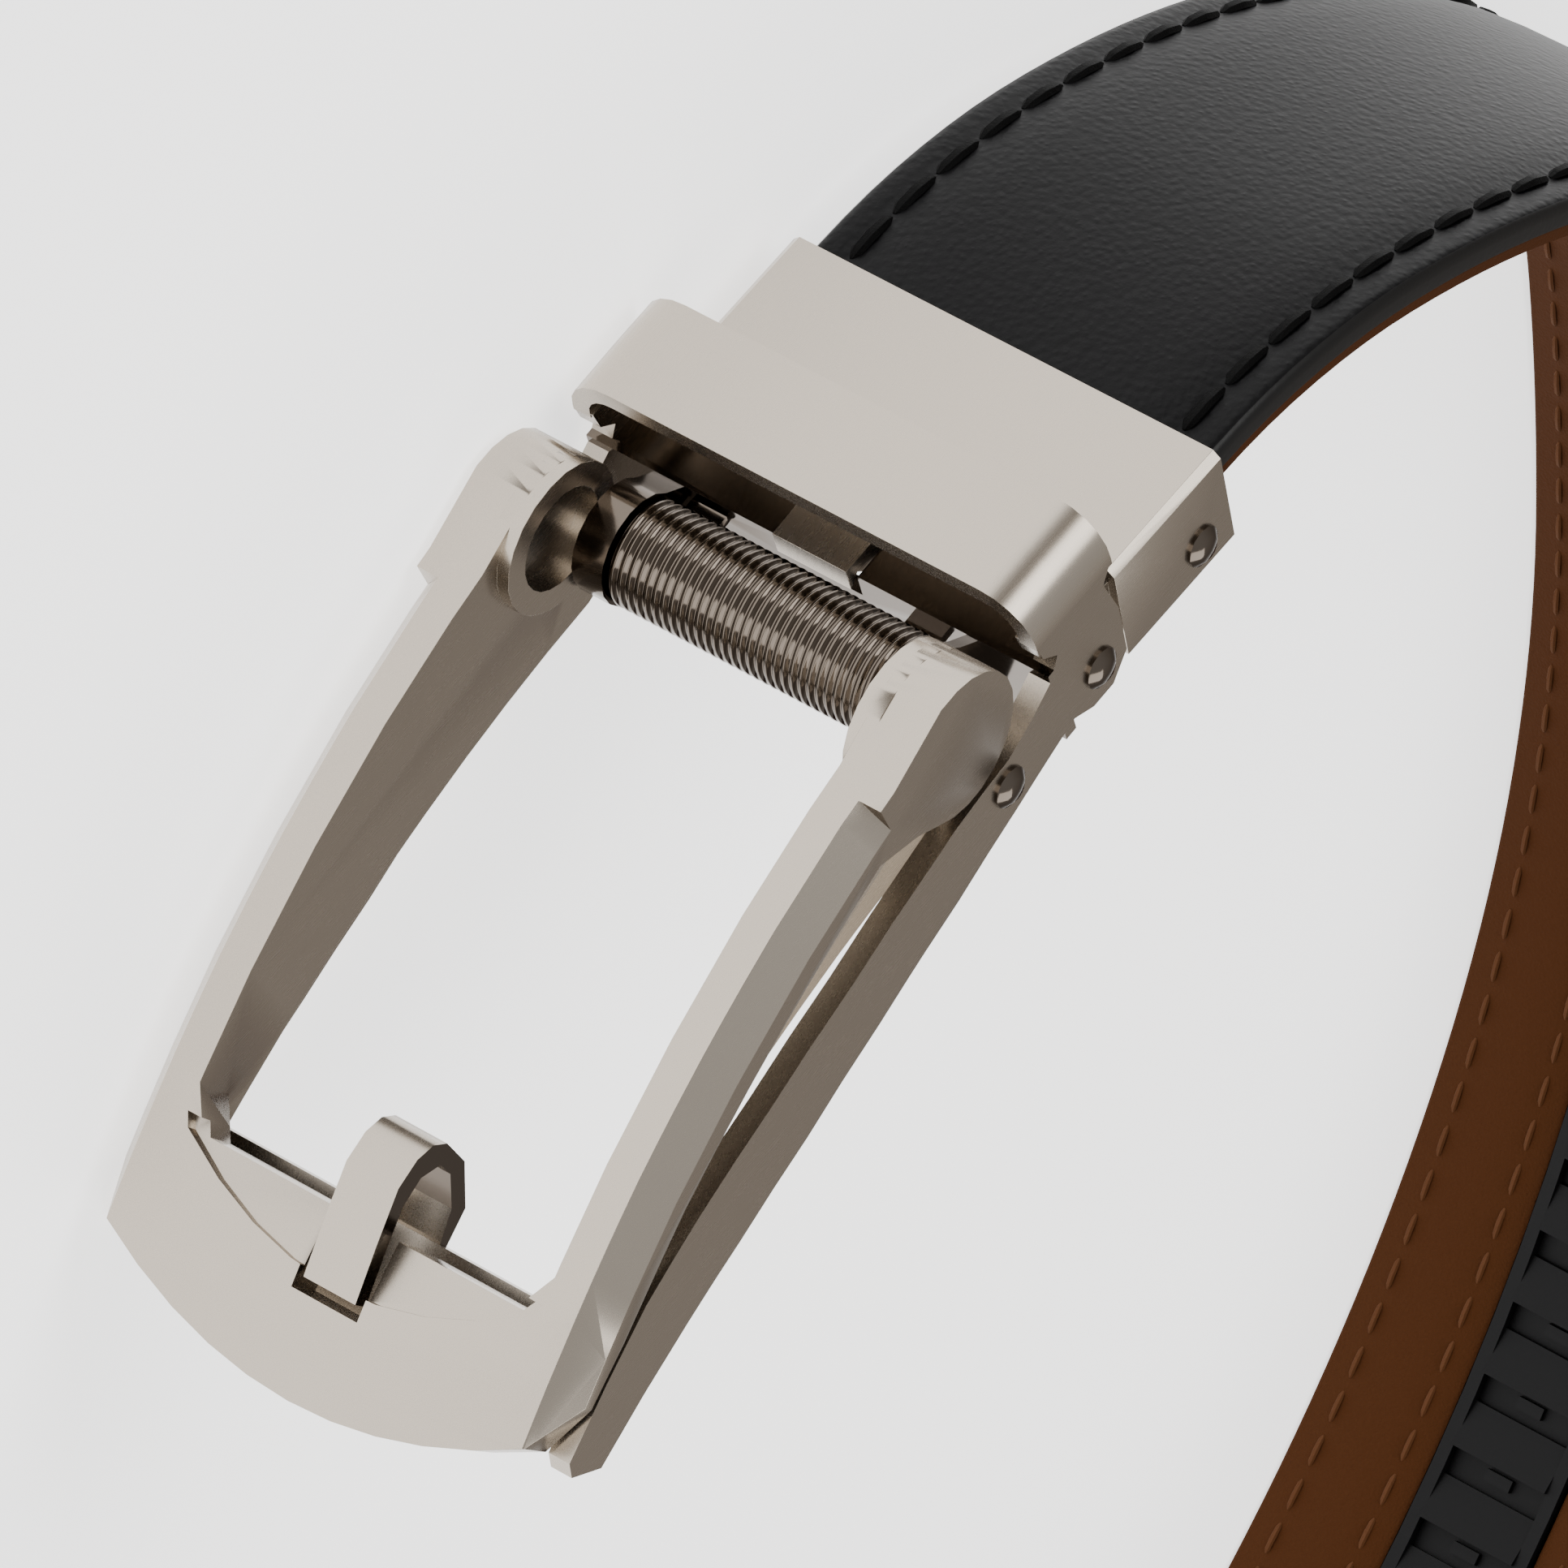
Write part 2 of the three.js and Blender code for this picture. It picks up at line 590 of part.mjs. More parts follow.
function makeBody() {
  const holes = [SWING_PIN, RIVET].map((at) => ({ at, radius: HOLE_RADIUS }));
  const outline = plateOutline();
  const low = prism(outline, BODY_BOTTOM, BODY_BOTTOM + PLATE_THICK, holes);
  const high = prism(outline, BODY_TOP - PLATE_THICK, BODY_TOP, holes);
  const endBack = PLATE_EDGES.at(-1).back;
  const endBar = block(
    END_BAR_NEAR, BODY_END - 1.2, endBack - END_BAR_THICK, endBack, BODY_BOTTOM, BODY_TOP,
  );
  const floorBack = FLOOR_FRONT + FLOOR_THICK;
  const floor = block(FLOOR_NEAR, FLOOR_FAR, FLOOR_FRONT, floorBack, BODY_BOTTOM, BODY_TOP);
  const wall = block(
    FLOOR_FAR - FLOOR_THICK, FLOOR_FAR, FLOOR_FRONT, WALL_BACK, BODY_BOTTOM, BODY_TOP,
  );
  const tabs = TAB_PLACES.map((place) => block(
    FLOOR_FAR - TAB_SIZE, FLOOR_FAR + TAB_SIZE, floorBack, floorBack + TAB_SIZE,
    MIDDLE + place - TAB_WIDTH / 2, MIDDLE + place + TAB_WIDTH / 2,
  ));
  const prong = prism(prongOutline(), MIDDLE - PRONG_WIDTH / 2, MIDDLE + PRONG_WIDTH / 2);
  const pawlHalf = PAWL_WIDTH / 2 + RUN_GAP;
  const pawlSlot = block(
    FLOOR_NEAR - EPS, FLOOR_FAR + EPS, FLOOR_FRONT - EPS, floorBack + 1,
    MIDDLE - pawlHalf, MIDDLE + pawlHalf,
  );
  const shell = join(low, high, keeperBridge(), endBar, floor, wall, prong, ...tabs);
  const body = join(cut(shell, pawlSlot), earSolid(-1, LOW_EAR), earSolid(1, HIGH_EAR));
  addMesh('buckle_body', bendSolid(body), steel(0xada69d, 0.28));
}

// Pawl: a lever on the swing pin, its plate lying in the floor's slot
function makePawl() {
  const back = PAWL_FRONT + PAWL_THICK;
  const points = [
    { s: FLOOR_NEAR + 0.6, t: back }, { s: FLOOR_NEAR + 0.6, t: PAWL_FRONT },
    { s: PAWL_END, t: PAWL_FRONT }, { s: PAWL_END, t: back + 0.9 }, { s: PAWL_END - 1, t: back },
    ...arcPoints(SWING_PIN, PAWL_HUB, -35, 215, 10),
  ];
  const half = PAWL_WIDTH / 2;
  const hole = [{ at: SWING_PIN, radius: HOLE_RADIUS }];
  const solid = prism(points, MIDDLE - half, MIDDLE + half, hole);
  addMesh('pawl', bendSolid(solid), steel(0xc4c0b8, 0.3));
}

// The frame's outline seen from the front, with its end drawn as an arc
function frameOutline(far, bulge, corner) {
  const half = FRAME_WIDTH / 2;
  const near = KNUCKLE.s - KNUCKLE_RADIUS - EPS;
  const points = [{ s: near, z: MIDDLE - half }, { s: far - bulge - corner, z: MIDDLE - half }];
  const count = 10;
  for (let i = 0; i <= count; i += 1) {
    const across = THREE.MathUtils.lerp(-1, 1, i / count);
    const rise = far - bulge * across * across;
    points.push({ s: rise, z: MIDDLE + across * (half - corner * 0.45) });
  }
  points.push({ s: far - bulge - corner, z: MIDDLE + half }, { s: near, z: MIDDLE + half });
  return points;
}

function sideProfile() {
  const fronts = FRAME_PROFILE.map(({ s, front }) => ({ s, t: front }));
  const backs = FRAME_PROFILE.map(({ s, back }) => ({ s, t: back })).reverse();
  return [...arcPoints(KNUCKLE, KNUCKLE_RADIUS, 45, 272, 14), ...fronts, ...backs];
}

// Both knuckles, both inner walls: a piece at the lower side and its mirror at the upper
function bothSides(make) {
  return [-1, 1].map((sign) => {
    const span = (from, to) => {
      const a = MIDDLE + sign * (FRAME_WIDTH / 2 - from);
      const b = MIDDLE + sign * (FRAME_WIDTH / 2 - to);
      return [Math.min(a, b), Math.max(a, b)];
    };
    return make(span, sign);
  });
}

function makeFrame() {
  const front = KEEPER_FRONT - EPS;
  const back = WALL_BACK + EPS;
  const near = KNUCKLE.s - KNUCKLE_RADIUS - EPS;
  const side = prism(sideProfile(), BODY_BOTTOM, BODY_TOP);
  const outline = facePrism(frameOutline(FRAME_END, END_BULGE, END_CORNER), front, back);
  const inner = FRAME_WIDTH / 2 - ARM_WIDTH;
  const lipRound = 3;
  const windowHole = facePrism([
    { s: near, z: MIDDLE - inner },
    { s: WINDOW_FAR - lipRound, z: MIDDLE - inner },
    { s: WINDOW_FAR, z: MIDDLE - inner + lipRound * 0.6 },
    { s: WINDOW_FAR, z: MIDDLE + inner - lipRound * 0.6 },
    { s: WINDOW_FAR - lipRound, z: MIDDLE + inner },
    { s: near, z: MIDDLE + inner },
  ], front, back);
  const ledgeTop = FRAME_PROFILE.at(-2).front + LEDGE_DROP;
  const crescent = [{ s: WINDOW_FAR - 1, z: MIDDLE - inner }];
  const count = 8;
  for (let i = 0; i <= count; i += 1) {
    const across = THREE.MathUtils.lerp(-1, 1, i / count);
    const rise = WINDOW_FAR + LEDGE_BULGE * (1 - across * across);
    crescent.push({ s: rise, z: MIDDLE + across * (inner - 0.5) });
  }
  crescent.push({ s: WINDOW_FAR - 1, z: MIDDLE + inner });
  const ledge = facePrism(crescent, front, ledgeTop);
  const notchHalf = PRONG_WIDTH / 2 + 0.6;
  const notchFar = PRONG_FAR + 1;
  const notch = facePrism([
    { s: WINDOW_FAR - 1, z: MIDDLE - notchHalf }, { s: notchFar, z: MIDDLE - notchHalf },
    { s: notchFar, z: MIDDLE + notchHalf }, { s: WINDOW_FAR - 1, z: MIDDLE + notchHalf },
  ], front, back);
  const bevels = [1, -1].map((sign) => {
    const edge = MIDDLE + sign * FRAME_WIDTH / 2;
    const start = { s: BEVEL_NEAR, front: FRAME_PROFILE[0].front };
    const points = [start, ...FRAME_PROFILE.filter(({ s }) => s > BEVEL_NEAR)];
    const rings = points.map(({ s, front: t }) => [
      { x: s, y: t - 1, z: edge + sign },
      { x: s, y: t - 1, z: edge - sign * BEVEL_WIDTH * 1.3 },
      { x: s, y: t + BEVEL_DEPTH, z: edge + sign * 0.3 },
    ]);
    return toSolid(loft(rings));
  });
  const knuckles = bothSides((span) => rod(
    KNUCKLE, KNUCKLE_RADIUS, ...span(ARM_WIDTH - 1, KNUCKLE_WIDTH), 22,
  ));
  const recesses = bothSides((span) => rod(
    KNUCKLE, RECESS_RADIUS, ...span(KNUCKLE_WIDTH - RECESS_DEPTH, KNUCKLE_WIDTH + 1), 22,
  ));
  const wallTop = [{ s: 26, t: KNUCKLE.t }, { s: WALL_EDGE[0].s, t: KNUCKLE.t }];
  const walls = bothSides((span) => prism(
    [...wallTop, ...WALL_EDGE], ...span(ARM_WIDTH - WALL_THICK, ARM_WIDTH),
  ));
  const sockets = bothSides((span) => rod(
    BAR, PIVOT_RADIUS + GAP, ...span(ARM_WIDTH - WALL_THICK, KNUCKLE_WIDTH + 1),
  ));
  const ring = cut(side.intersect(outline), windowHole, ledge, notch, ...bevels);
  const frame = cut(join(ring, ...knuckles, ...walls), ...recesses, ...sockets);
  addMesh('front_frame', bendSolid(frame), steel(0xb9b1a5, 0.3));
}

// Ribbed bar with its two pivots
function makeRibbedBar() {
  const earFace = FRAME_WIDTH / 2 - KNUCKLE_WIDTH - RUN_GAP;
  const low = LOW_EAR + GAP - earFace;
  const high = earFace - HIGH_EAR - GAP;
  const pivotEnd = FRAME_WIDTH / 2 - ARM_WIDTH + WALL_THICK - RUN_GAP;
  const pitch = (high - low) / RIB_COUNT;
  const profile = [[0, -pivotEnd], [PIVOT_RADIUS, -pivotEnd], [PIVOT_RADIUS, low]];
  for (let i = 0; i < RIB_COUNT; i += 1) {
    const from = low + i * pitch;
    profile.push([BAR_RADIUS - RIB_HEIGHT, from], [BAR_RADIUS, from + pitch / 2]);
  }
  profile.push([BAR_RADIUS - RIB_HEIGHT, high]);
  profile.push([PIVOT_RADIUS, high], [PIVOT_RADIUS, pivotEnd], [0, pivotEnd]);
  const points = profile.map(([r, z]) => new THREE.Vector2(r, z));
  const bar = new THREE.LatheGeometry(points, RIB_SIDES);
  bar.rotateX(Math.PI / 2);
  const place = bendPoint(BAR.s, BAR.t);
  bar.translate(place.x, place.y, MIDDLE);
  addMesh('ribbed_bar', toGeometry(toSolid(bar)), steel(0x8d8781, 0.3));
}

makeStrap();
makeClamp();
makeJaw();
makePin('jaw_pin', JAW_PIN, CLAMP_WIDTH);
makePin('swing_pin', SWING_PIN, BODY_WIDTH);
makeRivet('rivet_low', RIVET, -1);
makeRivet('rivet_high', RIVET, 1);
makeBody();
makePawl();
makeFrame();
makeRibbedBar();

const box = new THREE.Box3().setFromObject(belt);
const middle = box.getCenter(new THREE.Vector3());
belt.children.forEach((mesh) => mesh.geometry.translate(-middle.x, -middle.y, -box.min.z));

export default belt;
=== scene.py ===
import json
import math

import bpy
from bpy.props import FloatProperty, IntProperty, PointerProperty
from bpy.types import Operator, Panel, PropertyGroup
from mathutils import Matrix, Vector

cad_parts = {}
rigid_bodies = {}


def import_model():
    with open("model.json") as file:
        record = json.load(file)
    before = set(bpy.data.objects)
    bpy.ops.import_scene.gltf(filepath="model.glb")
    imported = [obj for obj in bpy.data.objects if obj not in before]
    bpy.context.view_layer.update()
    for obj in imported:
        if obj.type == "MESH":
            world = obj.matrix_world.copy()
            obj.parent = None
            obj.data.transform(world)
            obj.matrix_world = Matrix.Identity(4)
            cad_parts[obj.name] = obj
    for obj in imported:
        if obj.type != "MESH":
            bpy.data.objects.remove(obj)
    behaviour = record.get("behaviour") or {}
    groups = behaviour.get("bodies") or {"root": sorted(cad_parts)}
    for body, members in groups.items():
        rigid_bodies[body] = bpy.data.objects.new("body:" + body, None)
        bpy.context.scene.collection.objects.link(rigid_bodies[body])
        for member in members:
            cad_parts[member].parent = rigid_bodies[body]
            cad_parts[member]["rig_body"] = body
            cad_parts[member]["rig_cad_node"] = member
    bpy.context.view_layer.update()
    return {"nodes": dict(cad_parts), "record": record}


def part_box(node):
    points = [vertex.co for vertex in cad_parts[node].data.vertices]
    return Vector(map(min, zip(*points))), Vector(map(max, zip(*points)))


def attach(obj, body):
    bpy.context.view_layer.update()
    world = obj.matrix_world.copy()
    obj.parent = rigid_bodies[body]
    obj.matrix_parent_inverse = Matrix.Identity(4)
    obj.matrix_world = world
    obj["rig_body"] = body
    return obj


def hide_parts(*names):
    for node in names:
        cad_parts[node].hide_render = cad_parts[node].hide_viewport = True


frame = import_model()

bl_info = {
    "name": "Ratchet Belt",
    "version": (1, 0, 0),
    "blender": (4, 5, 0),
    "location": "View3D > Sidebar > Belt",
    "description": "Builds the looks of a leather ratchet belt round its CAD model",
    "category": "Add Mesh",
}

MM = 0.001

# The strap's plan, as in the CAD: straight and curved runs from the fixed end
STRAP_PATH = (
    {"run": 11.2, "turn": 0},
    {"run": 10, "turn": 11.7},
    {"run": 14, "turn": 13.1},
    {"run": 20, "turn": 10.5},
    {"run": 38, "turn": 19.5},
    {"run": 22, "turn": 23.4},
    {"run": 22, "turn": 15.3},
    {"run": 26, "turn": 6.4},
    {"run": 25, "turn": 12.4},
    {"run": 27, "turn": 15.5},
    {"run": 21, "turn": 10.7},
    {"run": 24, "turn": 12.7},
    {"run": 352, "turn": 20},
    {"run": 239.7, "turn": 158.8},
    {"run": 258.3, "turn": 20},
)
STRAP_LENGTH = sum(row["run"] for row in STRAP_PATH)
STRAP_START = 10.9
STRAP_FRONT = 1.2
STRAP_WIDTH = 35.0
MIDDLE = 20.8
SETTLE = 170.0
TIP_LENGTH = 13.0
TIP_END_WIDTH = 12.0
FACE_THICK = 2.2
LINING_NEAR = 2.5
LINING_FAR = 3.5
TRACK_START = 150.0
TRACK_TAIL = 30.0
TRACK_WIDTH = 11.0
TOOTH_PITCH = 6.35
TOOTH_BASE = 0.35
TOOTH_HEIGHT = 0.5
TOOTH_LEAN = 0.9
RAIL_WIDTH = 1.1
NUB_HALF = 1.2
LINING_GAP = 0.3
LINING_ROUND = 0.25
STRIP_STEP = 3
RIB_LENGTH = 23.8
RIB_SHIFT = 0.8
RIB_FOOT = 0.94
RIB_SHAPE = ((0.12, RIB_FOOT), (0.3, 0.985), (0.5, 1.0), (0.7, 0.985), (0.88, RIB_FOOT))
RIM = 2.4
KEEPER_DEPTH = 4.2
INNER_NEAR = 19
INNER_FAR = 16

# Shares of the rounded tip at which the strap's face has a ring
TIP_SHARES = (0.25, 0.45, 0.62, 0.77, 0.88, 0.96, 1)
BOX_FACES = (
    (0, 3, 2, 1), (4, 5, 6, 7), (0, 1, 5, 4), (1, 2, 6, 5), (2, 3, 7, 6), (3, 0, 4, 7),
)

# One stitch: the share of its length, its width and its rise, as shares of its radius
STITCH_SHAPE = (
    {"share": 0.0, "wide": 0.35, "rise": -0.1},
    {"share": 0.15, "wide": 0.9, "rise": 0.6},
    {"share": 0.5, "wide": 1.0, "rise": 1.0},
    {"share": 0.85, "wide": 0.9, "rise": 0.6},
    {"share": 1.0, "wide": 0.35, "rise": -0.1},
)

# The studio's light by height, from the horizon at 0 to straight up at 1
SKY = (
    {"height": 0.0, "colour": "#FAFAFA"},
    {"height": 0.3, "colour": "#9A9088"},
    {"height": 0.62, "colour": "#D2CBC4"},
    {"height": 1.0, "colour": "#FFFFFF"},
)

# The camera against the clamp's lower front corner: place in mm, axes, and focal length in pixels
CAMERA_PLACE = (582.39, -1013.04, 613.45)
CAMERA_RIGHT = (-0.60296326, 0.13053928, 0.78701639)
CAMERA_DOWN = (0.67722518, 0.60518627, 0.41846819)
CAMERA_FORWARD = (-0.42166498, 0.78530826, -0.45330958)
FOCAL_PX = 23536.3
PHOTO_PX = 1932
SENSOR = 36


def linear(code):
    """An sRGB hex colour as the linear colour that shaders take."""
    parts = [int(code[i : i + 2], 16) / 255 for i in (1, 3, 5)]
    return [c / 12.92 if c <= 0.04045 else ((c + 0.055) / 1.055) ** 2.4 for c in parts] + [1]


def add_node(tree, kind, **values):
    """A shader node, with its properties and then its inputs set by name."""
    node = tree.nodes.new(kind)
    for name, value in values.items():
        if hasattr(node, name):
            setattr(node, name, value)
        else:
            node.inputs[name].default_value = value
    return node


def new_material(name):
    """An empty node material, its shader and its tree."""
    material = bpy.data.materials.new(name)
    material.use_nodes = True
    tree = material.node_tree
    return material, tree, tree.nodes["Principled BSDF"]


def object_coords(tree, stretch=(1, 1, 1)):
    """Object coordinates in millimetres, stretched along an axis if asked."""
    coords = tree.nodes.new("ShaderNodeTexCoord")
    mapping = tree.nodes.new("ShaderNodeMapping")
    mapping.inputs["Scale"].default_value = [s / MM for s in stretch]
    tree.links.new(coords.outputs["Object"], mapping.inputs["Vector"])
    return mapping.outputs["Vector"]


def add_bump(tree, shader, height, depth_mm, strength=1.0):
    """Links a height output to the shader's normal through a bump."""
    bump = tree.nodes.new("ShaderNodeBump")
    bump.inputs["Distance"].default_value = depth_mm * MM
    bump.inputs["Strength"].default_value = strength
    tree.links.new(height, bump.inputs["Height"])
    tree.links.new(bump.outputs["Normal"], shader.inputs["Normal"])


def make_satin_nickel():
    """Zinc alloy plated in warm satin nickel, brushed along the buckle."""
    material, tree, shader = new_material("satin_nickel")
    shader.inputs["Base Color"].default_value = linear("#A89F93")
    shader.inputs["Metallic"].default_value = 1
    vector = object_coords(tree, (0.5, 6, 6))
    noise = add_node(tree, "ShaderNodeTexNoise", Scale=1.0, Detail=3.0)
    tree.links.new(vector, noise.inputs["Vector"])
    spread = tree.nodes.new("ShaderNodeMapRange")
    spread.inputs["To Min"].default_value = 0.25
    spread.inputs["To Max"].default_value = 0.29
    tree.links.new(noise.outputs["Fac"], spread.inputs["Value"])
    tree.links.new(spread.outputs["Result"], shader.inputs["Roughness"])
    add_bump(tree, shader, noise.outputs["Fac"], 0.001, 0.15)
    return material


def make_polished_nickel_with_painted_shade():
    """The same plating polished, as on bevels, pins and inner walls, with its base colour painted
    darker than the satin's as shade.
    """
    material, tree, shader = new_material("polished_nickel_with_painted_shade")
    # Base colour darker than the satin's: painted shade for the inner walls and the parts set among
    # them
    shader.inputs["Base Color"].default_value = linear("#5E564E")
    shader.inputs["Metallic"].default_value = 1
    shader.inputs["Roughness"].default_value = 0.12
    return material


def make_black_leather():
    """Finished black leather with a fine pebble grain."""
    material, tree, shader = new_material("black_leather")
    vector = object_coords(tree)
    grain = add_node(tree, "ShaderNodeTexVoronoi", Scale=1.7)
    grain.feature = "SMOOTH_F1"
    tree.links.new(vector, grain.inputs["Vector"])
    fine = add_node(tree, "ShaderNodeTexNoise", Scale=2.5, Detail=4.0)
    tree.links.new(vector, fine.inputs["Vector"])
    total = tree.nodes.new("ShaderNodeMath")
    total.operation = "MULTIPLY_ADD"
    tree.links.new(fine.outputs["Fac"], total.inputs[0])
    total.inputs[1].default_value = -0.5
    tree.links.new(grain.outputs["Distance"], total.inputs[2])
    shader.inputs["Base Color"].default_value = linear("#060607")
    shader.inputs["Roughness"].default_value = 0.45
    shader.inputs["Specular IOR Level"].default_value = 0.09
    add_bump(tree, shader, total.outputs["Value"], -0.09, 0.7)
    return material


def make_plain(name, code, roughness, specular=0.5, grain_mm=0.0, depth_mm=0.0):
    """A plain finish, with a noise grain of the given size if asked."""
    material, tree, shader = new_material(name)
    shader.inputs["Base Color"].default_value = linear(code)
    shader.inputs["Roughness"].default_value = roughness
    shader.inputs["Specular IOR Level"].default_value = specular
    if grain_mm:
        noise = add_node(tree, "ShaderNodeTexNoise", Scale=1 / grain_mm, Detail=4.0)
        tree.links.new(object_coords(tree), noise.inputs["Vector"])
        add_bump(tree, shader, noise.outputs["Fac"], depth_mm)
    return material


def make_materials():
    """Every finish by name."""
    return {
        "satin": make_satin_nickel(),
        # Polished nickel whose darker base colour is painted shade
        "polished": make_polished_nickel_with_painted_shade(),
        "leather": make_black_leather(),
        # Painted and burnished strap edge
        "edge": make_plain(
            "black_edge_paint", "#060606", 0.4, specular=0.25, grain_mm=0.8, depth_mm=0.02
        ),
        # Brown suede-like lining leather
        "lining": make_plain(
            "brown_lining_leather", "#3C1F08", 0.95, specular=0.15, grain_mm=0.25, depth_mm=0.08
        ),
        # Moulded black polymer track
        "track": make_plain("black_track_polymer", "#050506", 0.55, specular=0.15),
        # Waxed black and brown polyester threads
        "black_thread": make_plain(
            "black_thread", "#030303", 0.6, specular=0.06, grain_mm=0.15, depth_mm=0.05
        ),
        "brown_thread": make_plain(
            "brown_thread", "#4A2A10", 0.8, specular=0.2, grain_mm=0.15, depth_mm=0.05
        ),
    }


class Strap:
    """Places on the strap, in row-frame metres, from distances in millimetres."""

    def __init__(self):
        low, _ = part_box("clamp")
        self.corner = Vector((low.x / MM, low.y / MM, 0))

    def at(self, distance):
        x, y = self.corner.x + STRAP_START, self.corner.y + STRAP_FRONT
        heading, left = 0.0, distance
        for row in STRAP_PATH:
            part = min(left, row["run"])
            turned = math.radians(row["turn"]) * part / row["run"]
            chord = 2 * part * math.sin(turned / 2) / turned if turned else part
            x -= chord * math.cos(heading + turned / 2)
            y += chord * math.sin(heading + turned / 2)
            heading += turned
            left -= part
            if left <= 0:
                break
        share = min(1, max(0, distance / SETTLE))
        settled = share * share * (3 - 2 * share)
        bottom = (MIDDLE - STRAP_WIDTH / 2) * (1 - settled)
        return x, y, heading, bottom + STRAP_WIDTH / 2

    def point(self, distance, depth, up):
        x, y, heading, centre = self.at(distance)
        return Vector(
            (x + math.sin(heading) * depth, y + math.cos(heading) * depth, centre + up)
        ) * MM


def half_width(distance):
    """Half the strap's width, drawn in round its free tip."""
    past = max(0, distance - (STRAP_LENGTH - TIP_LENGTH)) / TIP_LENGTH
    share = math.sqrt(max(0, 1 - past * past))
    return (TIP_END_WIDTH + (STRAP_WIDTH - TIP_END_WIDTH) * share) / 2


def add_object(name, points, faces, body, material, smooth_deg=40):
    """A mesh object from points and faces, shaded smooth below an angle, riding on a body."""
    mesh = bpy.data.meshes.new(name)
    mesh.from_pydata([tuple(p) for p in points], [], faces)
    mesh.validate()
    obj = bpy.data.objects.new(name, mesh)
    bpy.context.scene.collection.objects.link(obj)
    mesh.materials.append(material)
    bpy.ops.object.select_all(action="DESELECT")
    obj.select_set(True)
    bpy.context.view_layer.objects.active = obj
    bpy.ops.object.mode_set(mode="EDIT")
    bpy.ops.mesh.select_all(action="SELECT")
    bpy.ops.mesh.normals_make_consistent(inside=False)
    bpy.ops.object.mode_set(mode="OBJECT")
    bpy.ops.object.shade_smooth_by_angle(angle=math.radians(smooth_deg))
    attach(obj, body)
    return obj


def loft(rings):
    """Faces of a closed skin through rings of equal size, with its ends capped."""
    size = len(rings[0])
    points = [p for ring in rings for p in ring]
    faces = []
    for i in range(len(rings) - 1):
        for k in range(size):
            a, b = i * size + k, i * size + (k + 1) % size
            faces.append((a, b, b + size, a + size))
    last = (len(rings) - 1) * size
    faces.append(tuple(range(size)))
    faces.append(tuple(range(last + size - 1, last - 1, -1)))
    return points, faces


def spaced(start, end, step):
    """Distances from start to end, about a step apart."""
    count = max(1, round((end - start) / step))
    return [start + (end - start) * i / count for i in range(count + 1)]


def face_section(half, crown, channel):
    """The leather face's section: rounded edges, a stitch channel and a padded middle."""
    inner = half - channel
    upper = (
        {"depth": FACE_THICK, "up": half - 0.05},
        {"depth": FACE_THICK * 0.5, "up": half},
        {"depth": 0.55, "up": half - 0.1},
        {"depth": 0.2, "up": half - 0.4},
        {"depth": 0.08, "up": half - 0.9},
        {"depth": 0.1, "up": inner + 1.0},
        {"depth": 0.22, "up": inner + 0.3},
        {"depth": 0.05, "up": inner - 0.6},
        {"depth": -crown * 0.5, "up": inner - 2.0},
        {"depth": -crown * 0.85, "up": inner - 4.5},
        {"depth": -crown, "up": inner * 0.4},
    )
    lower = [{"depth": p["depth"], "up": -p["up"]} for p in reversed(upper)]
    return list(upper) + lower


class BeltSettings(PropertyGroup):
    """Sizes that the looks add to the CAD model."""

    crown: FloatProperty(name="Crown", description="Rise of the padded middle, mm", default=0.5)
    channel: FloatProperty(name="Channel", description="Stitch line from the edge, mm", default=3.0)
    front_pitch: FloatProperty(
        name="Front pitch", description="Front stitch pitch, mm", default=5.0
    )
    back_pitch: FloatProperty(name="Back pitch", description="Back stitch pitch, mm", default=3.9)
    bevel: FloatProperty(name="Bevel", description="Rounded metal edges, mm", default=0.25)
    rib_count: IntProperty(name="Ribs", description="Rings on the ribbed bar", default=32)


class BeltOperator:
    """What the belt's operators share."""

    bl_options = {"REGISTER", "UNDO"}

    @property
    def settings(self):
        return bpy.context.scene.belt_settings

    def finished(self, objects):
        """Finished, or an error if nothing was made."""
        if not objects:
            raise RuntimeError(f"{self.bl_label} made nothing")
        return {"FINISHED"}


materials = {}


class BELT_OT_strap_face(BeltOperator, Operator):
    """Black leather face with a padded middle and painted edges"""

    bl_idname = "belt.strap_face"
    bl_label = "Strap Face"

    def execute(self, context):
        strap, own = Strap(), self.settings
        rings = []
        tip = STRAP_LENGTH - TIP_LENGTH
        places = spaced(0, tip, STRIP_STEP) + [tip + TIP_LENGTH * share for share in TIP_SHARES]
        for d in places:
            fade = min(1, (STRAP_LENGTH - d) / 8, max(0, d - 1) / 4)
            section = face_section(half_width(d), own.crown * fade, own.channel)
            rings.append([strap.point(d, p["depth"], p["up"]) for p in section])
        points, faces = loft(rings)
        obj = add_object("strap_face_skin", points, faces, "strap", materials["leather"], 50)
        obj.data.materials.append(materials["edge"])
        size = len(rings[0])
        sides = ({0, 1, 2, 3}, {size - 4, size - 3, size - 2, size - 1}, {0, size - 1})
        for face in obj.data.polygons:
            around = {v % size for v in face.vertices}
            if len(face.vertices) > 4 or any(around <= side for side in sides):
                face.material_index = 1
        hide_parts("strap_face")
        return self.finished([obj])


